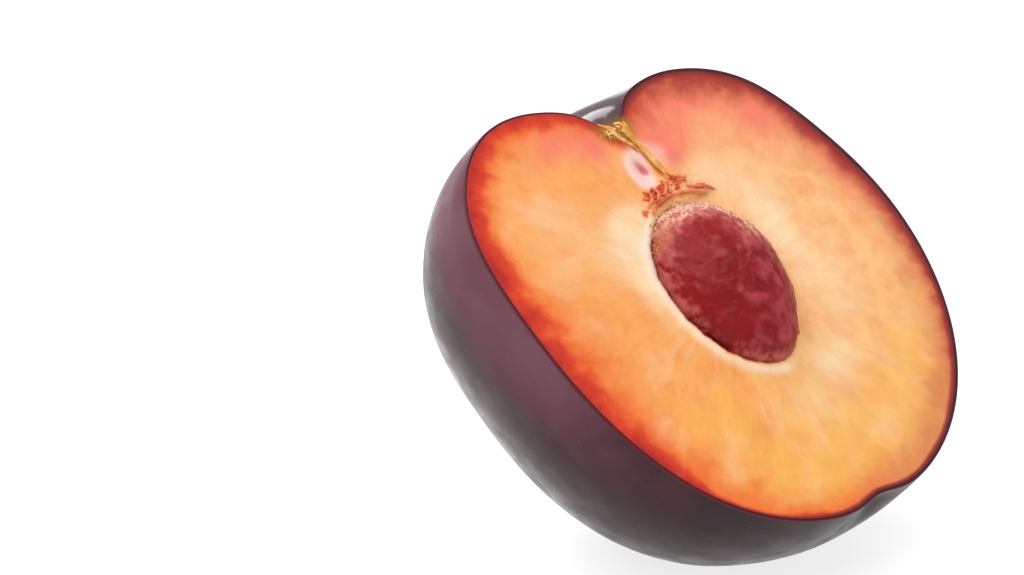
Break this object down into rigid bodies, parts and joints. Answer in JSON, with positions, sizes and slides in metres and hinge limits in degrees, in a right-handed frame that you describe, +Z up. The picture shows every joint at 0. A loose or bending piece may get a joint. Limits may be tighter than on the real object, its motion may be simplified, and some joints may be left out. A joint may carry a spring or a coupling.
{
  "type": "half plum with stone",
  "caption": "Dark plum half cut from stem to apex, stone left in its flesh, lying tilted on one cheek with the cut face up.",
  "frame": {"origin": "middle of the small flat spot that the half lies on", "axes": "+Z up; the cut face looks up and towards -Y and +X, with the stem end at its upper left and the apex at its lower right"},
  "size_m": [0.0609, 0.057, 0.0489],
  "materials": {
    "flesh": "moist cut flesh, orange-yellow with a red band under the skin",
    "skin": "thin dark purple skin, satin gloss with a faint bloom",
    "stone": "wrinkled burgundy stone with damp flesh fibres clinging to it"
  },
  "bodies": {
    "root": {"half_fruit": "flesh", "stone": "stone"}
  },
  "joints": []
}
